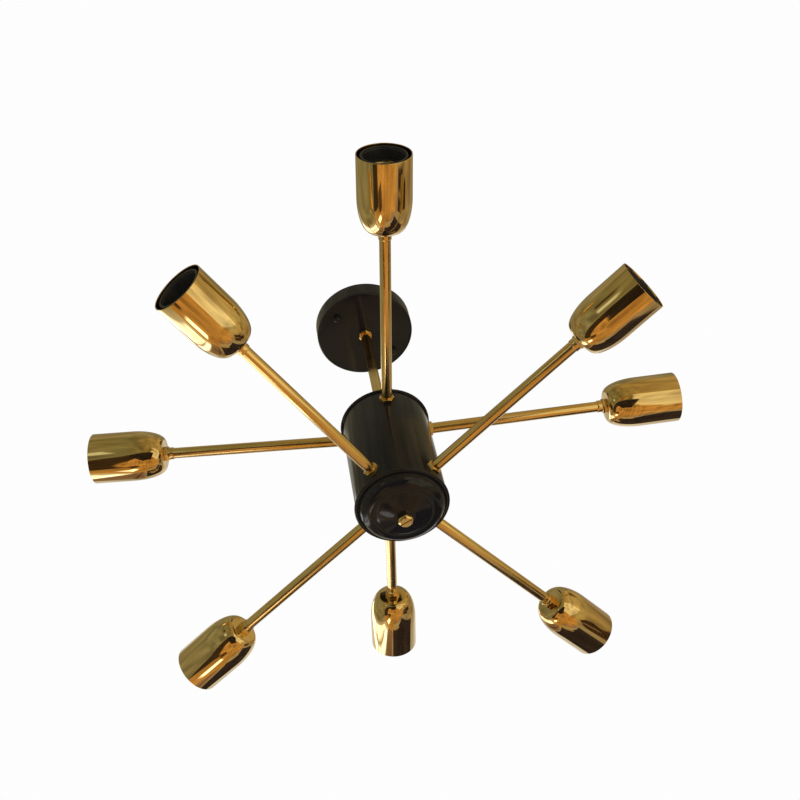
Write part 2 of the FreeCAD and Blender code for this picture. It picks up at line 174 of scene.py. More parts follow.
class PipeSizes(bpy.types.PropertyGroup):
    """Threaded brass pipe, its nuts and the finial."""
    radius: length("Radius", "Outer radius of the pipe", half_width("down_rod"))
    bore: length("Bore", "Inner radius of the pipe", 3.5 * MM)
    nut_flats: length("Nut flats", "Width across flats of the nuts", 12.6 * MM)
    nut: length("Nut", "Thickness of a nut", height_of("canopy_nut"))
    root_nut: length("Root nut", "Thickness of a nut at an arm's root", 2.6 * MM)
    root_foot: length("Root foot", "How far a nut reaches back to the curved wall", 1.9 * MM)
    cup_base: length("Cup base", "From the drum wall to the base of a cup", 170.9 * MM)
    collar: length("Collar", "Outer radius of the collar at the cup", 5.7 * MM)
    collar_length: length("Collar length", "Length of the collar at the cup", 4.5 * MM)
    tail: length("Tail", "Pipe inside the drum wall", 10.0 * MM)
    finial: length("Finial", "Height of the finial", height_of("finial"))
    finial_radius: length("Finial radius", "Radius the finial's corners are turned down to", 6.8 * MM)
    chamfer: length("Chamfer", "Width of the slope round the finial's face", 1.8 * MM)
    slot_width: length("Slot width", "Width of the finial's slot", 1.2 * MM)
    slot_depth: length("Slot depth", "Depth of the finial's slot", 0.7 * MM)
    slot_turn: FloatProperty(name="Slot turn", description="Direction of the finial's slot",
                             default=math.radians(-32.0), subtype="ANGLE")


class CupSizes(bpy.types.PropertyGroup):
    """The polished cups."""
    radius: length("Radius", "Outer radius of a cup", 23.5 * MM)
    wall: length("Wall", "Thickness of a cup's wall", 0.8 * MM)
    length: length("Length", "Length of a cup", 68.0 * MM)
    straight: length("Straight", "Length of the straight wall behind the lip", 37.5 * MM)
    base: length("Base", "Radius of the flat base", 13.0 * MM)


class HolderSizes(bpy.types.PropertyGroup):
    """The black lamp holders and their screw shells."""
    radius: length("Radius", "Outer radius of the front band", 20.0 * MM)
    body: length("Body", "Outer radius behind the band", 19.2 * MM)
    band: length("Band", "Width of the front band", 3.0 * MM)
    bore: length("Bore", "Inner radius of the open front", 17.7 * MM)
    recess: length("Recess", "Front edge behind the cup's lip", 1.0 * MM)
    skirt: length("Skirt", "Depth of the open front", 11.0 * MM)
    floor: length("Floor", "Thickness of the closed back", 4.0 * MM)
    insulator: length("Insulator", "Radius of the bore around the screw shell", 13.75 * MM)
    shell: length("Shell", "Inner radius of the screw shell", 13.3 * MM)
    shell_wall: length("Shell wall", "Thickness of the screw shell", 0.4 * MM)
    shell_length: length("Shell length", "Length of the screw shell", 22.0 * MM)
    contact_space: length("Contact space", "From the screw shell to the contact's face", 3.0 * MM)
    pitch: length("Pitch", "Pitch of the rolled thread", 3.62 * MM)
    thread: length("Thread", "Depth of the rolled thread", 0.9 * MM)


class Finishes(bpy.types.PropertyGroup):
    """Colours and gloss of the surfaces."""
    cup_brass: colour("Cup brass", "Colour of the polished cups", (0.88, 0.67, 0.34))
    cup_roughness: share("Cup roughness", "Roughness of the polished cups", 0.05)
    pipe_brass: colour("Pipe brass", "Colour of the pipes and nuts", (0.93, 0.70, 0.34))
    pipe_roughness: share("Pipe roughness", "Roughness of the pipes and nuts", 0.14)
    paint: colour("Paint", "Colour of the satin black paint", (0.0068, 0.0064, 0.0068))
    paint_roughness: share("Paint roughness", "Roughness of the black paint", 0.11)
    holder: colour("Holder", "Colour of the moulded lamp holders", (0.009, 0.008, 0.007))
    zinc: colour("Zinc", "Colour of the plated steel", (0.55, 0.56, 0.57))
    contact: colour("Contact", "Colour of the shells and contacts", (0.70, 0.55, 0.30))
    nylon: colour("Nylon", "Colour of the terminal block", (0.72, 0.71, 0.66))


class StageSizes(bpy.types.PropertyGroup):
    """Floor, light and background."""
    floor: length("Floor", "Distance from the ceiling plane to the floor", 2.2)
    background: share("Background", "Brightness of the background", 0.985)
    fill: share("Fill", "Brightness of the light from all round", 0.55)
    key: FloatProperty(name="Key", description="Power of the large lamp", default=16.0, unit="POWER")
    rim: FloatProperty(name="Rim", description="Power of the smaller lamps", default=6.0, unit="POWER")


class ChandelierSettings(bpy.types.PropertyGroup):
    """Everything that can be changed about the chandelier."""
    canopy: PointerProperty(name="Canopy", description="Sizes of the canopy", type=CanopySizes)
    drum: PointerProperty(name="Drum", description="Sizes of the drum", type=DrumSizes)
    pipe: PointerProperty(name="Pipe", description="Sizes of the pipes and nuts", type=PipeSizes)
    cup: PointerProperty(name="Cup", description="Sizes of the cups", type=CupSizes)
    holder: PointerProperty(name="Holder", description="Sizes of the lamp holders", type=HolderSizes)
    finish: PointerProperty(name="Finish", description="Colours and gloss", type=Finishes)
    stage: PointerProperty(name="Stage", description="Floor and light", type=StageSizes)
    rounds: IntProperty(name="Rounds", description="Steps around the larger turned pieces",
                        default=128, min=24)
    fine_rounds: IntProperty(name="Fine rounds", description="Steps around pipes and small pieces",
                             default=48, min=12)


# ---------------------------------------------------------------- node helpers

def built_once(store, name):
    """Build a material or a tree at its first use, and find it by its name after that."""
    def keep(build):
        return lambda: getattr(bpy.data, store).get(name) or build(name)
    return keep


def fill(tree, node, inputs):
    """Link or set a node's inputs by name or number."""
    for key, value in inputs.items():
        if isinstance(value, bpy.types.NodeSocket):
            tree.links.new(value, node.inputs[key])
        else:
            node.inputs[key].default_value = value


def add_node(tree, kind, inputs=None, **options):
    """Add a node, set its options and fill its inputs."""
    made = tree.nodes.new(kind)
    for key, value in options.items():
        setattr(made, key, value)
    fill(tree, made, inputs or {})
    return made


def maths(tree, operation, *values):
    return add_node(tree, "ShaderNodeMath", dict(enumerate(values)), operation=operation).outputs[0]


def new_shape_tree(name, **sockets):
    """A Geometry Nodes tree that takes a geometry, the named inputs and a material."""
    tree = bpy.data.node_groups.new(name, "GeometryNodeTree")
    tree.interface.new_socket("Geometry", in_out="OUTPUT", socket_type="NodeSocketGeometry")
    for label, kind in {"Geometry": "Geometry", **sockets, "Material": "Material"}.items():
        tree.interface.new_socket(label, in_out="INPUT", socket_type="NodeSocket" + kind)
    return tree, tree.nodes.new("NodeGroupInput").outputs


def end_shape_tree(tree, start, geometry):
    """Realise the instances, set the material and connect the output."""
    real = add_node(tree, "GeometryNodeRealizeInstances", {"Geometry": geometry})
    painted = add_node(tree, "GeometryNodeSetMaterial",
                       {"Geometry": real.outputs[0], "Material": start["Material"]})
    add_node(tree, "NodeGroupOutput", {"Geometry": painted.outputs[0]})
    return tree


def unit_grid(tree, columns, segments):
    """A grid to wrap into a tube, each point's share of the way along it, and its angle."""
    grid = add_node(tree, "GeometryNodeMeshGrid", {
        "Size X": 1.0, "Size Y": 1.0, "Vertices X": columns,
        "Vertices Y": maths(tree, "ADD", segments, 1.0)})
    place = add_node(tree, "ShaderNodeSeparateXYZ",
                     {0: add_node(tree, "GeometryNodeInputPosition").outputs[0]})
    across = maths(tree, "ADD", place.outputs["X"], 0.5)
    around = maths(tree, "ADD", place.outputs["Y"], 0.5)
    return grid, across, maths(tree, "MULTIPLY", around, math.tau)


def wrapped(tree, grid, along, radius, angle):
    """Wrap the grid round X, keep its UV map and close its seams."""
    turned_to = add_node(tree, "ShaderNodeCombineXYZ", {
        "X": along,
        "Y": maths(tree, "MULTIPLY", radius, maths(tree, "SINE", angle)),
        "Z": maths(tree, "MULTIPLY", radius, maths(tree, "COSINE", angle))})
    mapped = add_node(tree, "GeometryNodeStoreNamedAttribute",
                      {"Geometry": grid.outputs["Mesh"], "Name": "UVMap",
                       "Value": grid.outputs["UV Map"]},
                      data_type="FLOAT2", domain="CORNER")
    moved = add_node(tree, "GeometryNodeSetPosition",
                     {"Geometry": mapped.outputs[0], "Position": turned_to.outputs[0]})
    return add_node(tree, "GeometryNodeMergeByDistance",
                    {"Geometry": moved.outputs[0], "Distance": SAME_POINT}).outputs[0]


@built_once("node_groups", "Turned piece")
def turned_tree(name):
    """Turns a profile, x along the axis and z away from it, into a round piece."""
    tree, start = new_shape_tree(name, Segments="Int")
    profile = start["Geometry"]
    count = add_node(tree, "GeometryNodeAttributeDomainSize", {0: profile}).outputs["Point Count"]
    grid, across, angle = unit_grid(tree, count, start["Segments"])
    last = maths(tree, "SUBTRACT", count, 1.0)
    point = add_node(tree, "GeometryNodeSampleIndex", {
        "Geometry": profile, "Value": add_node(tree, "GeometryNodeInputPosition").outputs[0],
        "Index": maths(tree, "ROUND", maths(tree, "MULTIPLY", across, last))},
        data_type="FLOAT_VECTOR")
    place = add_node(tree, "ShaderNodeSeparateXYZ", {0: point.outputs[0]})
    closed = wrapped(tree, grid, place.outputs["X"], place.outputs["Z"], angle)
    return end_shape_tree(tree, start, closed)


@built_once("node_groups", "Rolled thread")
def thread_tree(name):
    """A sheet tube along X with a rolled screw thread in it."""
    tree, start = new_shape_tree(name, Radius="Float", Length="Float", Pitch="Float",
                                 Depth="Float", Rings="Int", Segments="Int")
    grid, across, angle = unit_grid(tree, start["Rings"], start["Segments"])
    along = maths(tree, "MULTIPLY", across, start["Length"])
    turns = maths(tree, "MULTIPLY", maths(tree, "DIVIDE", along, start["Pitch"]), math.tau)
    wave = maths(tree, "COSINE", maths(tree, "ADD", turns, angle))
    rise = maths(tree, "MULTIPLY", maths(tree, "SUBTRACT", wave, 1.0),
                 maths(tree, "MULTIPLY", start["Depth"], 0.5))
    closed = wrapped(tree, grid, along, maths(tree, "ADD", start["Radius"], rise), angle)
    return end_shape_tree(tree, start, closed)


@built_once("node_groups", "Repeated piece")
def repeated_tree(name):
    """Puts a copy of a piece on every point, turned by the point's turn attribute."""
    tree, start = new_shape_tree(name, Piece="Object", Along="Float")
    piece = add_node(tree, "GeometryNodeObjectInfo",
                     {"Object": start["Piece"], "As Instance": True})
    turn = add_node(tree, "GeometryNodeInputNamedAttribute", {"Name": "turn"},
                    data_type="FLOAT_VECTOR")
    rotation = add_node(tree, "FunctionNodeEulerToRotation", {0: turn.outputs[0]})
    copies = add_node(tree, "GeometryNodeInstanceOnPoints", {
        "Points": start["Geometry"], "Instance": piece.outputs["Geometry"],
        "Rotation": rotation.outputs[0]})
    shift = add_node(tree, "ShaderNodeCombineXYZ", {"X": start["Along"]})
    moved = add_node(tree, "GeometryNodeTranslateInstances", {
        "Instances": copies.outputs[0], "Translation": shift.outputs[0], "Local Space": True})
    return end_shape_tree(tree, start, moved.outputs[0])


# ---------------------------------------------------------------- mesh helpers

def new_object(name, data):
    piece = bpy.data.objects.new(name, data)
    bpy.context.scene.collection.objects.link(piece)
    return piece


def remove_object(piece):
    mesh = piece.data
    bpy.data.objects.remove(piece)
    bpy.data.meshes.remove(mesh)


def mesh_of(shape, name):
    """The mesh of an edited shape, which is let go."""
    mesh = bpy.data.meshes.new(name)
    shape.to_mesh(mesh)
    shape.free()
    return mesh


def plain_object(name, source, all_layers):
    """What a source's modifiers make, as a plain mesh object. The source itself is used up."""
    graph = bpy.context.evaluated_depsgraph_get()
    mesh = bpy.data.meshes.new_from_object(source.evaluated_get(graph), depsgraph=graph,
                                           preserve_all_data_layers=all_layers)
    if not mesh.polygons:
        raise RuntimeError("no faces came out for " + name)
    mesh.name = name
    source.modifiers.clear()
    remove_object(source)
    return new_object(name, mesh)


def grow(name, base, tree, inputs, wall=0.0):
    """Run a tree on a base mesh, give the sheet a wall, and return a plain mesh object."""
    source = new_object(name + "_source", base)
    modifier = source.modifiers.new("shape", "NODES")
    modifier.node_group = tree
    for item in tree.interface.items_tree:
        if item.in_out == "INPUT" and item.name in inputs:
            modifier[item.identifier] = inputs[item.name]
    if wall:
        sheet = source.modifiers.new("wall", "SOLIDIFY")
        sheet.thickness, sheet.offset = wall, 1.0
    return plain_object(name, source, True)


def eased(corners, radius, steps=3):
    """Round the inner corners of a chain of points; a corner with a third value keeps that radius."""
    chain = []
    for index, corner in enumerate(corners):
        here = Vector(corner[:2])
        size = corner[2] if len(corner) > 2 else radius
        if index in (0, len(corners) - 1) or size <= 0.0:
            chain.append(tuple(here))
            continue
        before = Vector(corners[index - 1][:2]) - here
        after = Vector(corners[index + 1][:2]) - here
        cut = min(size, before.length * LONGEST_CUT, after.length * LONGEST_CUT)
        first, last = here + before.normalized() * cut, here + after.normalized() * cut
        for step in range(steps + 1):
            t = step / steps
            point = first * (1 - t) ** 2 + here * 2 * t * (1 - t) + last * t ** 2
            chain.append(tuple(point))
    return chain


def arc_through(start, middle, end, steps=10):
    """Points of the circle arc from start through middle to end, sharp at its ends."""
    (ax, ay), (bx, by), (cx, cy) = start, middle, end
    d = 2 * (ax * (by - cy) + bx * (cy - ay) + cx * (ay - by))
    sa, sb, sc = ax * ax + ay * ay, bx * bx + by * by, cx * cx + cy * cy
    centre = Vector(((sa * (by - cy) + sb * (cy - ay) + sc * (ay - by)) / d,
                     (sa * (cx - bx) + sb * (ax - cx) + sc * (bx - ax)) / d))
    spokes = [Vector(point) - centre for point in (start, middle, end)]
    angles = [math.atan2(spoke.y, spoke.x) for spoke in spokes]
    sweep = sum((after - before + math.pi) % math.tau - math.pi
                for before, after in zip(angles, angles[1:]))
    reach = spokes[0].length
    turns = [angles[0] + sweep * step / steps for step in range(steps + 1)]
    return [(centre.x + reach * math.cos(turn), centre.y + reach * math.sin(turn), 0.0)
            for turn in turns]


def turned(name, points, segments, material):
    """A turned piece drawn along X; the profile runs forwards on its outside."""
    profile = bpy.data.meshes.new("profile")
    profile.from_pydata([(x, 0.0, r) for x, r in points], [], [])
    return grow(name, profile, turned_tree(), {"Segments": segments, "Material": material})


def ring_points(x0, x1, inner, outer, ease):
    """Closed profile of a plain ring whose outer corners are eased."""
    return eased([(x0, inner), (x0, outer), (x1, outer), (x1, inner), (x0, inner)], ease)


def hex_piece(name, rings, material, corners=6, steps=8):
    """A six-sided piece along X. Each ring gives x and radius for a direction's hexagon radius."""
    shape = bmesh.new()
    uv = shape.loops.layers.uv.new("UVMap")
    count = corners * steps
    loops = []
    for ring in rings:
        loop = []
        for index in range(count):
            angle = math.tau * index / count
            local = angle % (math.tau / corners) - math.pi / corners
            x, radius = ring(math.cos(math.pi / corners) / math.cos(math.pi / corners - abs(local)))
            loop.append(shape.verts.new((x, radius * math.sin(angle), radius * math.cos(angle))))
        loops.append(loop)
    for row, (near, far) in enumerate(zip(loops, loops[1:])):
        for index in range(count):
            after = (index + 1) % count
            face = shape.faces.new((near[index], far[index], far[after], near[after]))
            ends = ((index, row), (index, row + 1), (index + 1, row + 1), (index + 1, row))
            for loop, (u, v) in zip(face.loops, ends):
                loop[uv].uv = (u / count, v / len(loops))
    bmesh.ops.remove_doubles(shape, verts=shape.verts, dist=SAME_POINT)
    bmesh.ops.recalc_face_normals(shape, faces=shape.faces)
    mesh = mesh_of(shape, name)
    mesh.materials.append(material)
    return new_object(name, mesh)


def even(x, radius):
    """A ring of one radius all round."""
    return lambda reach: (x, radius)


def turned_down(x, corner, start, way):
    """A ring on a hexagon whose corners slope away from a face, from a start radius outwards."""
    return lambda reach: (x + way * (corner * reach - start) * CORNER_SLOPE, corner * reach)


def nut_rings(x0, x1, flats, bore):
    """Rings of a hexagon nut whose corners are turned down at both faces."""
    corner = flats / math.sqrt(3.0)
    face = flats / 2 * FACE_SHARE
    return [even(x0, bore), even(x0, face), turned_down(x0, corner, face, 1),
            turned_down(x1, corner, face, -1), even(x1, face), even(x1, bore + NUT_EASE),
            even(x1 - NUT_EASE, bore), even(x0, bore)]


def on_axis(piece, z, up):
    """Stand a piece drawn along X on the chandelier's axis."""
    turn = Matrix.Rotation(math.radians(-90.0 if up else 90.0), 4, "Y")
    piece.data.transform(Matrix.Translation((0, 0, z)) @ turn)
    return piece


def repeated(name, piece, frames, along=0.0):
    """A copy of a piece on every frame, as one mesh. The piece itself is used up."""
    points = bpy.data.meshes.new("points")
    points.from_pydata([place for place, way in frames], [], [])
    turns = points.attributes.new("turn", "FLOAT_VECTOR", "POINT")
    for index, (place, way) in enumerate(frames):
        turns.data[index].vector = way.to_track_quat("X", "Z").to_euler()
    made = grow(name, points, repeated_tree(),
                {"Piece": piece, "Along": along, "Material": piece.data.materials[-1]})
    remove_object(piece)
    return made


def finished(piece, body, slot, *nodes, sharp=32.0):
    """Smooth the faces up to a sharp angle in degrees, and let the piece stand for its CAD nodes."""
    piece.data.shade_smooth()
    piece.data.set_sharp_from_angle(angle=math.radians(sharp))
    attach(piece, body)
    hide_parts(*nodes)
    return piece


def arm_nodes(stem):
    return [stem + "_%d" % number for number in ARM_NUMBERS]


# ---------------------------------------------------------------- materials

def blank_material(name):
    material = bpy.data.materials.new(name)
    material.use_nodes = True
    material.node_tree.nodes.clear()
    return material, material.node_tree


def surface_material(name):
    """A material that is built once; the function under this gives its surface's inputs."""
    def keep(inputs_of):
        def build(name):
            material, tree = blank_material(name)
            surface = add_node(tree, "ShaderNodeBsdfPrincipled")
            add_node(tree, "ShaderNodeOutputMaterial", {"Surface": surface.outputs[0]})
            place = add_node(tree, "ShaderNodeTexCoord").outputs["Object"]
            fill(tree, surface, inputs_of(tree, place, bpy.context.scene.chandelier.finish))
            return material
        return built_once("materials", name)(build)
    return keep


def noise(tree, where, scale, detail=3.0, stretch=None):
    """Fractal noise per metre, from 0 to 1."""
    if stretch:
        where = add_node(tree, "ShaderNodeMapping", {"Vector": where, "Scale": stretch}).outputs[0]
    return add_node(tree, "ShaderNodeTexNoise",
                    {"Vector": where, "Scale": scale, "Detail": detail}).outputs["Fac"]


def between(tree, value, low, high):
    """Map the middle of a noise onto the range from low to high."""
    return add_node(tree, "ShaderNodeMapRange", {
        "Value": value, "From Min": 0.3, "From Max": 0.7, "To Min": low, "To Max": high}).outputs[0]


def blended(tree, value, first, second):
    """Blend two colours by a noise."""
    return add_node(tree, "ShaderNodeMix", {
        "Factor": between(tree, value, 0.0, 1.0), 6: (*first, 1.0), 7: (*second, 1.0)},
        data_type="RGBA").outputs[2]


def bumped(tree, *layers):
    """Stacked bump layers of (height, strength, depth in mm)."""
    normal = {}
    for height, strength, depth in layers:
        bump = add_node(tree, "ShaderNodeBump", {
            "Height": height, "Strength": strength, "Distance": depth * MM, **normal})
        normal = {"Normal": bump.outputs[0]}
    return normal["Normal"]


def scaled(tint, *factors):
    """A colour made lighter or darker, by one factor or by one for each of its three parts."""
    factors = factors if len(factors) == 3 else factors * 3
    return tuple(min(1.0, part * factor) for part, factor in zip(tint, factors))


def lacquered(tree, place, tint, roughness, *drawing):
    """Lacquered brass: faint cloudy colour, fingertip smudges and what drawing marks it has."""
    return {
        "Base Color": blended(tree, noise(tree, place, 22.0, 4.0), scaled(tint, 1.03),
                              scaled(tint, 0.95, 0.88, 0.74)),
        "Roughness": between(tree, noise(tree, place, 70.0, 5.0), roughness * 0.7,
                             roughness * 1.5),
        "Normal": bumped(tree, (noise(tree, place, 160.0, 2.0), 0.06, 0.02), *drawing),
        "Metallic": 1.0, "Coat Weight": 0.15, "Coat Roughness": 0.05}


@surface_material("polished_brass")
def cup_brass(tree, place, finish):
    return lacquered(tree, place, finish.cup_brass, finish.cup_roughness)


@surface_material("drawn_brass")
def pipe_brass(tree, place, finish):
    lines = noise(tree, place.node.outputs["UV"], 60.0, 3.0, stretch=(3.0, 0.04, 1.0))
    return lacquered(tree, place, finish.pipe_brass, finish.pipe_roughness, (lines, 0.03, 0.02))


@surface_material("satin_black_paint")
def black_paint(tree, place, finish):
    """Satin stoved paint: soft orange peel, slight browning and patches of unlike gloss."""
    tint, roughness = finish.paint, finish.paint_roughness
    return {
        "Base Color": blended(tree, noise(tree, place, 14.0, 4.0), scaled(tint, 0.85),
                              scaled(tint, 1.2, 1.1, 1.0)),
        "Roughness": between(tree, noise(tree, place, 45.0, 5.0), roughness * 0.88,
                             roughness * 1.2),
        "Normal": bumped(tree, (noise(tree, place, 700.0, 2.0), 0.10, 0.03),
                         (noise(tree, place, 2600.0, 2.0), 0.05, 0.01)),
        "Specular IOR Level": 0.34}


@surface_material("moulded_plastic")
def moulded_black(tree, place, finish):
    """Matt moulded plastic with a fine grain."""
    return {
        "Base Color": blended(tree, noise(tree, place, 60.0, 5.0), scaled(finish.holder, 0.8),
                              scaled(finish.holder, 1.5)),
        "Roughness": between(tree, noise(tree, place, 120.0, 4.0), 0.38, 0.55),
        "Normal": bumped(tree, (noise(tree, place, 2200.0, 2.0), 0.12, 0.02))}


@surface_material("plated_zinc")
def zinc_plate(tree, place, finish):
    """Bright zinc on steel, with a crystal pattern in tone and gloss."""
    crystals = add_node(tree, "ShaderNodeTexVoronoi", {"Vector": place, "Scale": 420.0})
    tone = noise(tree, place, 90.0, 4.0)
    mixed = maths(tree, "ADD", maths(tree, "MULTIPLY", crystals.outputs["Distance"], 0.35),
                  maths(tree, "MULTIPLY", tone, 0.7))
    return {
        "Base Color": blended(tree, mixed, scaled(finish.zinc, 0.8), scaled(finish.zinc, 1.15)),
        "Roughness": between(tree, mixed, 0.25, 0.45),
        "Normal": bumped(tree, (tone, 0.1, 0.02)), "Metallic": 1.0}


@surface_material("shell_metal")
def contact_metal(tree, place, finish):
    """Plated shell metal, a little dull, with rolling marks."""
    marks = noise(tree, place, 240.0, 5.0)
    return {
        "Base Color": blended(tree, marks, scaled(finish.contact, 0.75),
                              scaled(finish.contact, 1.1)),
        "Roughness": between(tree, marks, 0.22, 0.42),
        "Normal": bumped(tree, (marks, 0.08, 0.02)), "Metallic": 1.0}


@surface_material("moulded_nylon")
def nylon(tree, place, finish):
    """Moulded nylon, slightly cloudy."""
    cloud = noise(tree, place, 150.0, 3.0)
    return {
        "Base Color": blended(tree, cloud, scaled(finish.nylon, 0.93), finish.nylon),
        "Roughness": between(tree, cloud, 0.36, 0.48),
        "Normal": bumped(tree, (noise(tree, place, 1500.0, 2.0), 0.08, 0.02)),
        "Subsurface Weight": 0.1, "Subsurface Scale": 1.0 * MM}


# ---------------------------------------------------------------- the pieces

class ChandelierOperator:
    """Makes its pieces from the scene's settings, or stops with an error."""
    bl_options = {"REGISTER", "UNDO"}

    def execute(self, context):
        self.make(context.scene.chandelier)
        return {"FINISHED"}


class CHANDELIER_OT_hardware(ChandelierOperator, bpy.types.Operator):
    """Finish the ceiling hardware and the nuts and washers inside, whose shapes stay as they are"""
    bl_idname = "chandelier.hardware"
    bl_label = "Hidden hardware"

    def make(self, sizes):
        groups = {
            zinc_plate: ("mounting_bar", "bar_studs", "earth_screw", "terminal_screws",
                         "canopy_washer", "canopy_locknut", "top_locknut", "root_washers",
                         "root_locknuts"),
            nylon: ("terminal_block",), moulded_black: ("holder_caps",),
        }
        for finish, nodes in groups.items():
            for node in nodes:
                for place in frame["nodes"][node].material_slots:
                    place.material = finish()


class CHANDELIER_OT_canopy(ChandelierOperator, bpy.types.Operator):
    """Make the canopy, a pressed black dish"""
    bl_idname = "chandelier.canopy"
    bl_label = "Canopy"

    def make(self, sizes):
        canopy = sizes.canopy
        hole = sizes.pipe.radius + HOLE_PLAY
        inside, back = canopy.radius - canopy.wall, canopy.depth - canopy.wall
        points = eased([
            (0.0, inside), (0.0, canopy.radius, EASE),
            (canopy.depth, canopy.radius, canopy.edge * BEND_CUT), (canopy.depth, hole, FINE_EASE),
            (back, hole, FINE_EASE), (back, inside, (canopy.edge - canopy.wall) * BEND_CUT),
            (0.0, inside)], 0.0, steps=7)
        dish = on_axis(turned("canopy_dish", points, sizes.rounds, black_paint()), 0.0, False)
        finished(dish, "ceiling_plate", "black_paint", "canopy")


def stud_places():
    """Centres of the two studs, read from the stud node's mesh."""
    corners = [vertex.co for vertex in frame["nodes"]["bar_studs"].data.vertices]
    places = []
    for side in (-1, 1):
        group = [co for co in corners if co.x * side > 0]
        xs, ys = [co.x for co in group], [co.y for co in group]
        places.append(((min(xs) + max(xs)) / 2, (min(ys) + max(ys)) / 2))
    return places


class CHANDELIER_OT_cap_nuts(ChandelierOperator, bpy.types.Operator):
    """Make the two black cap nuts on the canopy's face"""
    bl_idname = "chandelier.cap_nuts"
    bl_label = "Cap nuts"

    def make(self, sizes):
        canopy = sizes.canopy
        flat = canopy.cap_nut_flats / 2
        corner = flat / math.cos(math.pi / 6)
        hexagon = canopy.cap_nut_hex
        dome = CANOPY_FACE - foot_of("canopy_cap_nuts") - hexagon
        face = flat * FACE_SHARE
        rings = [even(0.0, 0.0), even(0.0, face), turned_down(0.0, corner, face, 1),
                 turned_down(hexagon, corner, flat, -1), even(hexagon, flat)]
        for step in range(1, DOME_STEPS + 1):
            angle = math.pi / 2 * step / DOME_STEPS
            rings.append(even(hexagon + dome * math.sin(angle), flat * math.cos(angle)))
        nut = hex_piece("cap_nut", rings, black_paint())
        frames = [(Vector((x, y, CANOPY_FACE)), DOWN) for x, y in stud_places()]
        nuts = repeated("cap_nuts", nut, frames)
        finished(nuts, "ceiling_plate", "black_paint", "canopy_cap_nuts", sharp=28.0)


class CHANDELIER_OT_pipes(ChandelierOperator, bpy.types.Operator):
    """Make the down pipe and the eight arm pipes"""
    bl_idname = "chandelier.pipes"
    bl_label = "Pipes"

    def make(self, sizes):
        pipe = sizes.pipe
        points = ring_points(0.0, height_of("down_rod"), pipe.bore, pipe.radius, EASE)
        rod = turned("down_pipe", points, sizes.fine_rounds, pipe_brass())
        finished(on_axis(rod, foot_of("down_rod"), True), "fixture", "brass_pipe", "down_rod")
        end = pipe.cup_base + sizes.cup.wall + PIPE_END
        points = ring_points(-pipe.tail, end, pipe.bore, pipe.radius, EASE)
        arm = turned("arm_pipe", points, sizes.fine_rounds, pipe_brass())
        arms = repeated("arm_pipes", arm, arm_frames())
        finished(arms, "fixture", "brass_pipe", *arm_nodes("arm_tube"))


class CHANDELIER_OT_nuts(ChandelierOperator, bpy.types.Operator):
    """Make the brass nuts on the down pipe, at the arms' roots and at the cups"""
    bl_idname = "chandelier.nuts"
    bl_label = "Nuts"

    def make(self, sizes):
        pipe = sizes.pipe
        groups = [
            ("pipe_nuts", 0.0, pipe.nut, 0.0, ["canopy_nut", "top_nut"],
             [(UP * CANOPY_FACE, DOWN), (UP * UPPER_CROWN, UP)]),
            ("arm_root_nuts", -pipe.root_foot, pipe.root_nut, 0.0, ["root_nuts"], arm_frames()),
            ("cup_base_nuts", 0.0, pipe.nut, pipe.cup_base - pipe.nut, ["cup_nuts"], arm_frames()),
        ]
        for name, x0, x1, along, nodes, frames in groups:
            rings = nut_rings(x0, x1, pipe.nut_flats, pipe.radius)
            nuts = repeated(name, hex_piece(name + "_one", rings, pipe_brass()), frames, along)
            finished(nuts, "fixture", "brass_pipe", *nodes, sharp=20.0)


class CHANDELIER_OT_collars(ChandelierOperator, bpy.types.Operator):
    """Make the slim collars between the arm pipes and the cups"""
    bl_idname = "chandelier.collars"
    bl_label = "Collars"

    def make(self, sizes):
        pipe = sizes.pipe
        points = ring_points(0.0, pipe.collar_length, pipe.radius, pipe.collar, SOFT_EASE)
        collar = turned("collar", points, sizes.fine_rounds, pipe_brass())
        collars = repeated("arm_collars", collar, arm_frames(),
                           pipe.cup_base - pipe.nut - pipe.collar_length)
        finished(collars, "fixture", "brass_pipe", "cup_collars")


def cap_points(sizes):
    """Profile of a pressed end cap: x is the way out of the drum from the middle of its rim."""
    drum = sizes.drum
    hole = sizes.pipe.radius + HOLE_PLAY
    out, wall, half = drum.height, drum.cap_wall, drum.rim_half
    groove, shoulder, crease, step, cone = [
        (out * rise, radius) for rise, radius in zip(
            CAP_RISES, (drum.groove, drum.shoulder, drum.crease, drum.step, drum.cone))]
    shoulder = arc_through(groove, shoulder, crease)
    cone = arc_through(step, cone, (out, drum.crown))
    foot = drum.rim - half * BEAD_FOOT
    bead = arc_through((-half, foot), (0.0, drum.rim), (half, foot), steps=8)
    seat = drum.radius - drum.wall - SEAT_PLAY
    outside = [
        (-half - SEAT_DEPTH, seat - wall, 0.0), (-half - SEAT_DEPTH, seat, FINE_EASE),
        (-half, seat, 0.0), *bead, (half, drum.groove + RIM_FOOT, SOFT_EASE),
        (*groove, SOFT_EASE), *shoulder[1:-1], (*shoulder[-1][:2], SOFT_EASE),
        (*cone[0][:2], STEP_EASE), *cone[1:-1], (out, drum.crown, ROUND_EASE), (out, hole, FINE_EASE)]
    inside = [(out - wall, hole, 0.0)]
    inside += [(x - wall, r, 0.0) for x, r, _ in reversed(cone)]
    inside += [(x - wall, r - wall * 0.5, 0.0) for x, r, _ in reversed(shoulder)]
    return eased(outside + inside + outside[:1], 0.0, steps=4)


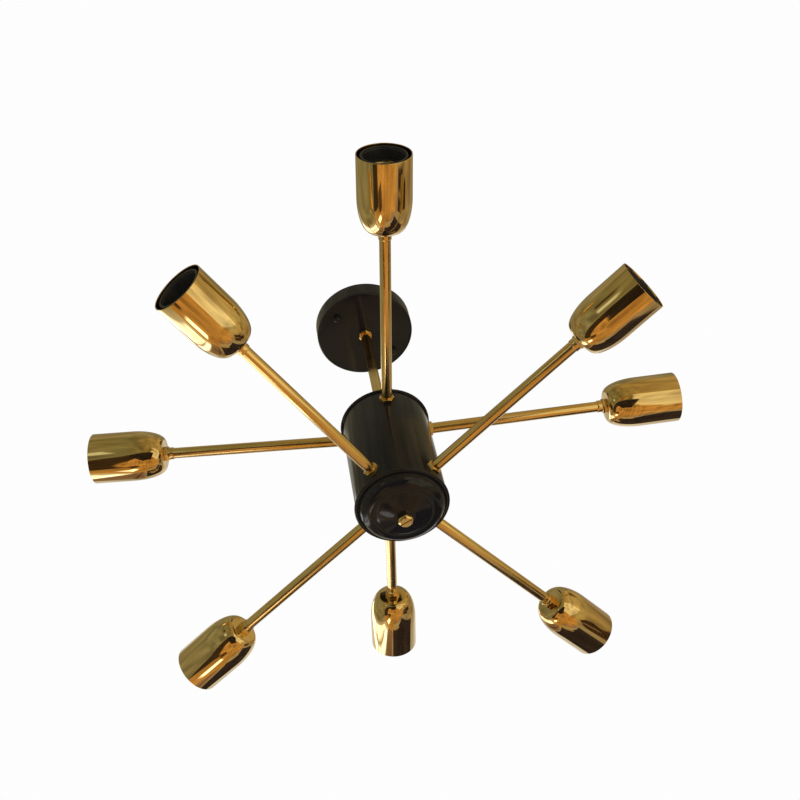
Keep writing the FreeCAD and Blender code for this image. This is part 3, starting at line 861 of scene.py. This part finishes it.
class CHANDELIER_OT_drum(ChandelierOperator, bpy.types.Operator):
    """Make the drum wall and its upper cap"""
    bl_idname = "chandelier.drum"
    bl_label = "Drum and upper cap"

    def make(self, sizes):
        drum = sizes.drum
        points = ring_points(0.0, UPPER_RIM - LOWER_RIM, drum.radius - drum.wall, drum.radius,
                             FINE_EASE)
        wall = turned("drum_wall", points, sizes.rounds, black_paint())
        finished(on_axis(wall, LOWER_RIM, True), "fixture", "black_paint", "body_shell")
        cap = turned("upper_cap", cap_points(sizes), sizes.rounds, black_paint())
        on_axis(cap, UPPER_CROWN - drum.height, True)
        finished(cap, "fixture", "black_paint", "top_cap")


class CHANDELIER_OT_lower_cap(ChandelierOperator, bpy.types.Operator):
    """Make the lower cap with its rolled rim, shoulder, step and cone"""
    bl_idname = "chandelier.lower_cap"
    bl_label = "Lower cap"

    def make(self, sizes):
        cap = turned("lower_cap", cap_points(sizes), sizes.rounds, black_paint())
        on_axis(cap, LOWER_CROWN + sizes.drum.height, False)
        finished(cap, "lower_cover", "black_paint", "bottom_cap")


class CHANDELIER_OT_finial(ChandelierOperator, bpy.types.Operator):
    """Make the six-sided brass finial with its slot"""
    bl_idname = "chandelier.finial"
    bl_label = "Finial"

    def make(self, sizes):
        pipe = sizes.pipe
        corner = pipe.nut_flats / math.sqrt(3.0)
        tip = pipe.finial
        well = tip - FINIAL_FLOOR
        face = pipe.finial_radius - pipe.chamfer

        def side(reach):
            return min(corner * reach, pipe.finial_radius)

        def slope(radius):
            return tip - radius + face

        rings = [even(well, 0.0), even(well, pipe.radius), even(0.0, pipe.radius),
                 lambda reach: (0.0, side(reach) - EASE), lambda reach: (EASE, side(reach)),
                 lambda reach: (slope(side(reach)) - EASE / 2, side(reach)),
                 lambda reach: (slope(side(reach) - EASE / 2), side(reach) - EASE / 2),
                 even(slope(face + EASE / 2), face + EASE / 2), even(tip, face - EASE / 2),
                 even(tip, face / 2), even(tip, 0.0)]
        body = on_axis(hex_piece("finial_body", rings, pipe_brass()), LOWER_CROWN, False)
        shape = bmesh.new()
        bmesh.ops.create_cube(shape, size=1.0)
        bmesh.ops.scale(shape, vec=(4 * corner, pipe.slot_width, 2 * pipe.slot_depth),
                        verts=shape.verts)
        slot = mesh_of(shape, "slot_cutter")
        slot.transform(Matrix.Translation((0, 0, LOWER_CROWN - tip))
                       @ Matrix.Rotation(pipe.slot_turn, 4, "Z"))
        slot.materials.append(pipe_brass())
        cutter = new_object("slot_cutter", slot)
        cut = body.modifiers.new("slot", "BOOLEAN")
        cut.operation, cut.solver, cut.object = "DIFFERENCE", "EXACT", cutter
        knob = plain_object("finial_with_slot", body, False)
        remove_object(cutter)
        finished(knob, "finial_knob", "brass_pipe", "finial", sharp=24.0)


class CHANDELIER_OT_cups(ChandelierOperator, bpy.types.Operator):
    """Make the eight polished cups"""
    bl_idname = "chandelier.cups"
    bl_label = "Cups"

    def make(self, sizes):
        cup = sizes.cup
        hole = sizes.pipe.radius + HOLE_PLAY
        turn = cup.length - cup.straight
        inner = cup.radius - cup.wall

        def quarter(depth, width, steps=20):
            angles = [math.pi / 2 * step / steps for step in range(steps + 1)]
            return [(turn - depth * math.cos(a), cup.base + width * math.sin(a), 0.0) for a in angles]

        outside = [(0.0, hole, 0.0)] + quarter(turn, cup.radius - cup.base)
        lip = [(cup.length, cup.radius, EASE), (cup.length, inner, EASE)]
        inside = quarter(turn - cup.wall, inner - cup.base)
        points = eased(outside + lip + inside[::-1] + [(cup.wall, hole), (0.0, hole)], 0.0, steps=4)
        one = turned("cup", points, CUP_ROUNDS, cup_brass())
        cups = repeated("polished_cups", one, arm_frames(), sizes.pipe.cup_base)
        finished(cups, "fixture", "cup_brass", *arm_nodes("socket_cup"))


class CHANDELIER_OT_holders(ChandelierOperator, bpy.types.Operator):
    """Make the black lamp holders with their screw shells and contacts"""
    bl_idname = "chandelier.holders"
    bl_label = "Lamp holders"

    def make(self, sizes):
        holder = sizes.holder
        front = sizes.pipe.cup_base + sizes.cup.length - holder.recess
        skirt_floor = front - holder.skirt
        contact_face = skirt_floor - holder.shell_length - holder.contact_space
        back = contact_face - holder.floor
        step = front - holder.band
        mouth = [(front - depth * MM, holder.bore + wider * MM) for depth, wider in HOLDER_MOUTH]
        points = eased([
            (back, 0.0), (back, holder.body), (step - BAND_SLOPE, holder.body),
            (step, holder.radius), (front, holder.radius, ROUND_EASE), (*mouth[0], ROUND_EASE),
            *mouth[1:], (skirt_floor, holder.bore), (skirt_floor, holder.insulator),
            (contact_face, holder.insulator), (contact_face, 0.0)], EASE)
        one = turned("holder", points, HOLDER_ROUNDS, moulded_black())
        made = repeated("holders", one, arm_frames())
        finished(made, "fixture", "holder_black", *arm_nodes("lamp_holder"))

        shell = grow("shell", bpy.data.meshes.new("start"), thread_tree(), {
            "Radius": holder.shell, "Length": holder.shell_length, "Pitch": holder.pitch,
            "Depth": holder.thread, "Rings": THREAD_RINGS, "Segments": THREAD_ROUNDS,
            "Material": contact_metal()}, holder.shell_wall)
        shells = repeated("threaded_shells", shell, arm_frames(),
                          skirt_floor - holder.shell_length)
        finished(shells, "fixture", "contact_brass", "screw_shells", sharp=50.0)

        profile = [(height * MM, radius * MM) for height, radius in CONTACT_PROFILE]
        points = eased([(0.0, 0.0), *profile, (profile[-1][0], 0.0)], EASE)
        contact = turned("contact", points, CONTACT_ROUNDS, contact_metal())
        contacts = repeated("contacts", contact, arm_frames(), contact_face)
        finished(contacts, "fixture", "contact_brass", "centre_contacts")


# ---------------------------------------------------------------- stage

CAMERA_PLACE = Vector((-0.1162, -0.7098, -1.0762))
CAMERA_AIM = Vector((0.1126, 0.6014, 0.7910))
CAMERA_RIGHT = Vector((0.9901, -0.0006, -0.1405))
CAMERA_LENS, CAMERA_SENSOR = 54.54, 36.0
CAMERA_SHIFT = (0.0034, 0.0029)
FLOOR_HALF = 9.0
FLOOR_FADE = (0.8, 3.0)        # the floor runs into the background between these distances
# Each lamp's place, height aimed at, diameter, and power as a share of the key's or the rim's.
LAMPS = {"key": ((-1.1, -1.3, 0.7), -0.2, 1.1, 1.0), "side": ((1.5, -0.4, -0.1), -0.2, 0.5, 1.0),
         "under": ((-0.7, -0.4, -1.6), -0.25, 0.5, 0.6)}

# The studio shell only shows in reflections. The tone of its wall by azimuth, in degrees.
WALL_TONES = [
    (0, (0.40, 0.31, 0.13)), (14, (0.33, 0.24, 0.12)), (30, (0.30, 0.24, 0.14)),
    (44, (0.34, 0.29, 0.21)), (60, (0.66, 0.64, 0.58)), (84, (0.68, 0.67, 0.62)),
    (98, (0.50, 0.46, 0.36)), (108, (0.62, 0.60, 0.52)), (134, (0.62, 0.58, 0.46)),
    (140, (0.28, 0.24, 0.13)), (160, (0.23, 0.21, 0.12)), (200, (0.23, 0.22, 0.13)),
    (250, (0.20, 0.18, 0.08)), (268, (0.28, 0.21, 0.08)), (290, (0.36, 0.26, 0.10)),
    (330, (0.50, 0.38, 0.17)), (350, (0.43, 0.34, 0.14)), (360, (0.40, 0.31, 0.13)),
]
# What stands before it: azimuth from and to, elevation from and to, and tone.
PATCHES = [
    (0, 360, 54, 90, (0.26, 0.23, 0.14)),
    (96, 152, -64, -37, (0.48, 0.26, 0.07)),
    (40, 98, -48, 1, (0.030, 0.022, 0.024)),
    (68, 100, -54, -43, (0.40, 0.30, 0.16)),
    (99, 117, -40, 8, (0.26, 0.17, 0.11)),
    (104, 106, -40, 8, (0.07, 0.04, 0.03)),
    (118, 133, -30, 43, (2.3, 2.4, 2.4)),
    (123, 125, -30, 43, (0.40, 0.28, 0.16)),
    (118, 133, 7, 10, (0.40, 0.30, 0.20)),
    (122, 134, -56, -44, (2.2, 2.2, 2.0)),
    (8, 27, -40, -19, (0.040, 0.022, 0.014)),
    (12, 22, -19, -5, (0.035, 0.016, 0.010)),
    (15.5, 17.5, -40, -26, (0.24, 0.15, 0.07)),
    (280, 350, -60, -14, (0.78, 0.68, 0.42)),
    (331, 352, 27, 43, (0.17, 0.09, 0.03)),
    (153, 240, -55, -37, (0.040, 0.024, 0.012)),
    (138, 160, -68, -56, (0.10, 0.05, 0.02)),
    (222, 230, -3, 8, (0.08, 0.05, 0.02)),
    (222, 231, -23, -12, (0.62, 0.66, 0.50)),
    (226, 292, -74, -36, (0.022, 0.016, 0.012)),
]
PATCH_EDGE = 1.2               # width in degrees over which a patch blends into what is behind it
SHELL_DISTANCE = 1.95
# The boards under the drum: their tones near and far, how far down, and how wide.
BOARD_TONE, FAR_BOARD_TONE = (0.54, 0.29, 0.08), (0.28, 0.19, 0.12)
BOARD_DEPTH, BOARD_WIDTH = 1.3, 0.14
BOARDS_FROM, BOARDS_BLEND = -48.0, 4.0     # elevation at which they begin, and the blend there
FAR_AZIMUTHS, FAR_FROM, FAR_BLEND = (35.0, 100.0), -52.0, 12.0
BOARD_SHADES = (0.78, 0.34, 12.9)          # least shade, range, and step from board to board
SEAM_HALF, SEAM_SHADE = 0.07, 0.45


def mixed_tone(first, second, part):
    part = min(1.0, max(0.0, part))
    return tuple(a + (b - a) * part for a, b in zip(first, second))


def wall_tone(azimuth):
    for (start, first), (end, second) in zip(WALL_TONES, WALL_TONES[1:]):
        if azimuth <= end:
            return mixed_tone(first, second, (azimuth - start) / (end - start))


def board_tone(azimuth, elevation):
    """Tone of the boards, each a little lighter or darker than the next, with a dark seam."""
    tone = BOARD_TONE
    if FAR_AZIMUTHS[0] < azimuth < FAR_AZIMUTHS[1]:
        tone = mixed_tone(FAR_BOARD_TONE, BOARD_TONE, (FAR_FROM - elevation) / FAR_BLEND)
    reach = BOARD_DEPTH / math.tan(math.radians(-elevation))
    place = reach * math.cos(math.radians(azimuth)) / BOARD_WIDTH
    least, range_, step = BOARD_SHADES
    shade = least + range_ * abs(math.sin(step * math.floor(place)))
    if abs(place - round(place)) < SEAM_HALF:
        shade *= SEAM_SHADE
    return tuple(part * shade for part in tone)


def studio_tone(azimuth, elevation):
    """Tone of the studio shell in one direction: wall, patches before it, and boards below."""
    tone = wall_tone(azimuth)
    if elevation < BOARDS_FROM:
        tone = mixed_tone(tone, board_tone(azimuth, elevation),
                          (BOARDS_FROM - elevation) / BOARDS_BLEND)
    for west, east, low, high, patch in PATCHES:
        inside = min(azimuth - west, east - azimuth, elevation - low, high - elevation)
        tone = mixed_tone(tone, patch, inside / PATCH_EDGE + 0.5)
    return tone


def studio_mesh(columns=360, rows=180):
    """A sphere round the drum, seen from inside, with a tone at every point."""
    middle = UP * ((LOWER_RIM + UPPER_RIM) / 2)
    shape = bmesh.new()
    layer = shape.verts.layers.float_color.new("tone")
    loops = []
    for row in range(1, rows):
        elevation = -90.0 + 180.0 * row / rows
        rise = math.radians(elevation)
        loop = []
        for column in range(columns):
            azimuth = 360.0 * column / columns
            turn = math.radians(azimuth)
            way = Vector((math.cos(rise) * math.cos(turn), math.cos(rise) * math.sin(turn),
                          math.sin(rise)))
            point = shape.verts.new(middle + way * SHELL_DISTANCE)
            point[layer] = (*studio_tone(azimuth, elevation), 1.0)
            loop.append(point)
        loops.append(loop)
    for near, far in zip(loops, loops[1:]):
        for index in range(columns):
            after = (index + 1) % columns
            shape.faces.new((near[index], far[index], far[after], near[after]))
    shape.faces.new(loops[0])
    shape.faces.new(reversed(loops[-1]))
    return mesh_of(shape, "studio_shell")


def studio_finish():
    """Glow of the studio shell: its tones, broken up a little so that no band is flat."""
    material, tree = blank_material("studio_shell")
    tone = add_node(tree, "ShaderNodeAttribute", attribute_name="tone")
    place = add_node(tree, "ShaderNodeTexCoord").outputs["Object"]
    patch = noise(tree, place, 2.4, 4.0, stretch=(1.0, 1.0, 0.45))
    glow = add_node(tree, "ShaderNodeEmission", {
        "Color": tone.outputs["Color"], "Strength": between(tree, patch, 0.62, 1.38)})
    add_node(tree, "ShaderNodeOutputMaterial", {"Surface": glow.outputs[0]})
    return material


def floor_finish(background):
    """Pale matt floor that runs into the background further out and keeps the shadow."""
    material, tree = blank_material("floor")
    place = add_node(tree, "ShaderNodeTexCoord").outputs["Object"]
    surface = add_node(tree, "ShaderNodeBsdfPrincipled", {
        "Base Color": blended(tree, noise(tree, place, 3.0, 4.0), (0.90, 0.90, 0.89),
                              (0.93, 0.93, 0.92)),
        "Roughness": between(tree, noise(tree, place, 9.0, 4.0), 0.75, 0.9),
        "Specular IOR Level": 0.1})
    distance = add_node(tree, "ShaderNodeVectorMath", {0: place}, operation="LENGTH")
    fade = add_node(tree, "ShaderNodeMapRange", {
        "Value": distance.outputs["Value"], "From Min": FLOOR_FADE[0], "From Max": FLOOR_FADE[1]})
    glow = add_node(tree, "ShaderNodeEmission", {"Color": (background,) * 3 + (1.0,)})
    mix = add_node(tree, "ShaderNodeMixShader",
                   {0: fade.outputs[0], 1: surface.outputs[0], 2: glow.outputs[0]})
    add_node(tree, "ShaderNodeOutputMaterial", {"Surface": mix.outputs[0]})
    return material


def area_lamp(name, power):
    place, aim, size, part = LAMPS[name]
    lamp = bpy.data.lights.new(name, "AREA")
    lamp.shape, lamp.size, lamp.energy = "DISK", size, power * part
    holder = new_object(name, lamp)
    holder.location = place
    holder.rotation_mode = "QUATERNION"
    holder.rotation_quaternion = (UP * aim - Vector(place)).to_track_quat("-Z", "Y")
    holder.visible_glossy = False


class CHANDELIER_OT_stage(ChandelierOperator, bpy.types.Operator):
    """Make the camera, the floor, the background and the soft light"""
    bl_idname = "chandelier.stage"
    bl_label = "Stage"

    def make(self, sizes):
        stage = sizes.stage
        scene = bpy.context.scene
        scene.view_settings.view_transform = "Standard"
        lens = bpy.data.cameras.new("camera")
        lens.lens, lens.sensor_width = CAMERA_LENS, CAMERA_SENSOR
        lens.shift_x, lens.shift_y = CAMERA_SHIFT
        scene.camera = new_object("camera", lens)
        back = -CAMERA_AIM.normalized()
        up = back.cross(CAMERA_RIGHT).normalized()
        turn = Matrix((up.cross(back), up, back)).transposed().to_4x4()
        scene.camera.matrix_world = Matrix.Translation(CAMERA_PLACE) @ turn

        shape = bmesh.new()
        bmesh.ops.create_grid(shape, x_segments=16, y_segments=16, size=FLOOR_HALF)
        bmesh.ops.translate(shape, vec=(0, 0, -stage.floor), verts=shape.verts)
        floor = new_object("floor", mesh_of(shape, "floor"))
        floor.data.materials.append(floor_finish(stage.background))
        shell = new_object("studio_shell", studio_mesh())
        shell.data.materials.append(studio_finish())
        for rays in ("camera", "diffuse", "shadow", "transmission", "volume_scatter"):
            setattr(shell, "visible_" + rays, False)

        world = bpy.data.worlds.new("studio")
        scene.world = world
        world.use_nodes = True
        tree = world.node_tree
        tree.nodes.clear()
        rays = add_node(tree, "ShaderNodeLightPath").outputs
        seen = maths(tree, "MAXIMUM", rays["Is Camera Ray"],
                     maths(tree, "MAXIMUM", rays["Is Glossy Ray"], rays["Is Transmission Ray"]))
        level = add_node(tree, "ShaderNodeMapRange", {
            "Value": seen, "To Min": stage.fill, "To Max": stage.background})
        white = add_node(tree, "ShaderNodeBackground", {
            "Color": (1.0, 1.0, 1.0, 1.0), "Strength": level.outputs[0]})
        add_node(tree, "ShaderNodeOutputWorld", {"Surface": white.outputs[0]})

        area_lamp("key", stage.key)
        area_lamp("side", stage.rim)
        area_lamp("under", stage.rim)


class CHANDELIER_PT_sidebar(bpy.types.Panel):
    """Lists the pieces of the chandelier"""
    bl_idname = "CHANDELIER_PT_sidebar"
    bl_label = "Chandelier"
    bl_space_type = "VIEW_3D"
    bl_region_type = "UI"
    bl_category = "Chandelier"

    def draw(self, context):
        column = self.layout.column(align=True)
        for operator in OPERATORS:
            column.operator(operator.bl_idname)


OPERATORS = [
    CHANDELIER_OT_stage, CHANDELIER_OT_hardware, CHANDELIER_OT_canopy, CHANDELIER_OT_cap_nuts,
    CHANDELIER_OT_pipes, CHANDELIER_OT_nuts, CHANDELIER_OT_collars, CHANDELIER_OT_drum,
    CHANDELIER_OT_lower_cap, CHANDELIER_OT_finial, CHANDELIER_OT_cups, CHANDELIER_OT_holders,
]
CLASSES = [
    CanopySizes, DrumSizes, PipeSizes, CupSizes, HolderSizes, Finishes, StageSizes,
    ChandelierSettings, *OPERATORS, CHANDELIER_PT_sidebar,
]


def register():
    for item in CLASSES:
        bpy.utils.register_class(item)
    bpy.types.Scene.chandelier = PointerProperty(type=ChandelierSettings)


def unregister():
    del bpy.types.Scene.chandelier
    for item in reversed(CLASSES):
        bpy.utils.unregister_class(item)


def main():
    register()
    for operator in OPERATORS:
        group, name = operator.bl_idname.split(".")
        getattr(getattr(bpy.ops, group), name)()


if __name__ == "__main__":
    main()
